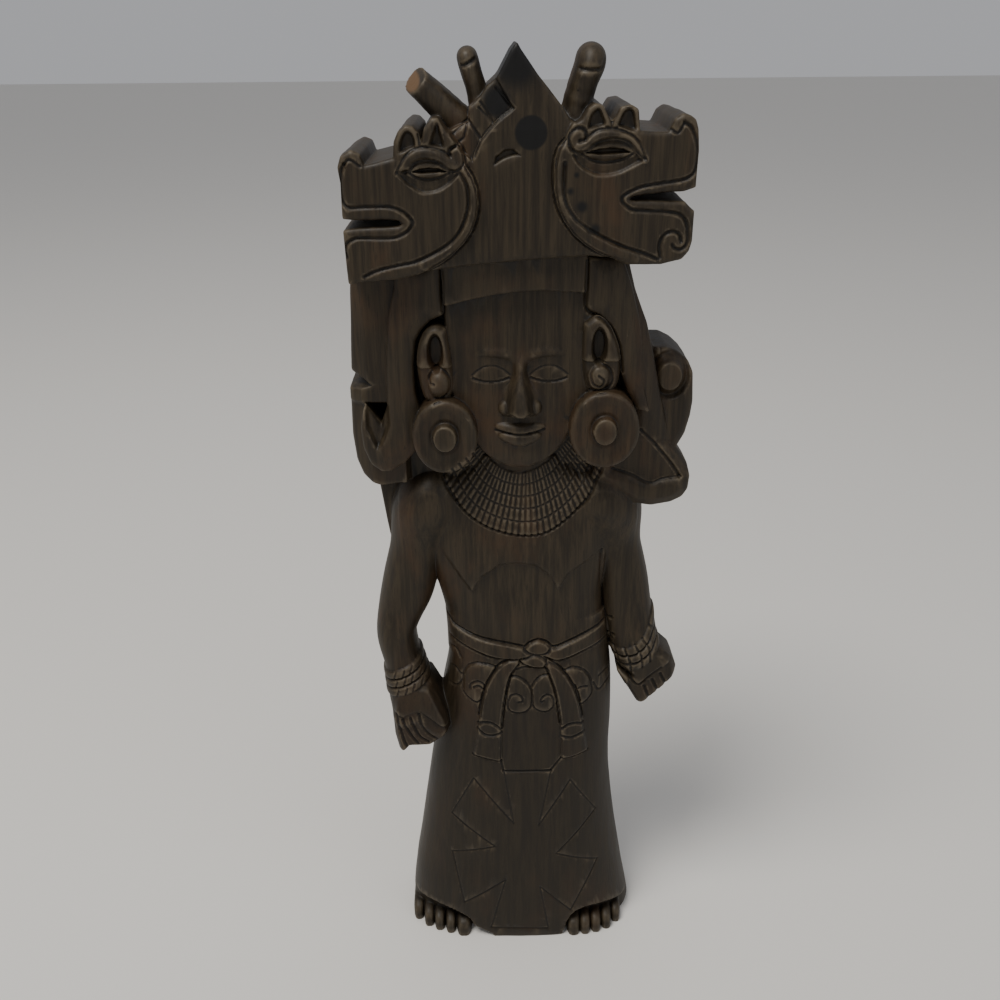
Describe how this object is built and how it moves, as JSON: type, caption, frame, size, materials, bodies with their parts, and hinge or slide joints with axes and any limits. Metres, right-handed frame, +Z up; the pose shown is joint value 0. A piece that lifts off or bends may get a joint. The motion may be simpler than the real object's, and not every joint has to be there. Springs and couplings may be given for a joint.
{
  "type": "wooden figurine",
  "caption": "Flat-backed standing figure carved in dark wood, with a two-headed serpent headdress, round earspools, bead collar and long skirt.",
  "frame": {"origin": "centre of the bounding box at the base, where the skirt and feet meet the table", "axes": "+Z up the figure, +Y towards the flat back, +X towards the viewer's right as seen from the front"},
  "size_m": [0.1436, 0.048, 0.42],
  "materials": {
    "wood": "dark stain, semi-matt"
  },
  "bodies": {
    "root": {"figurine": "wood"}
  },
  "joints": []
}
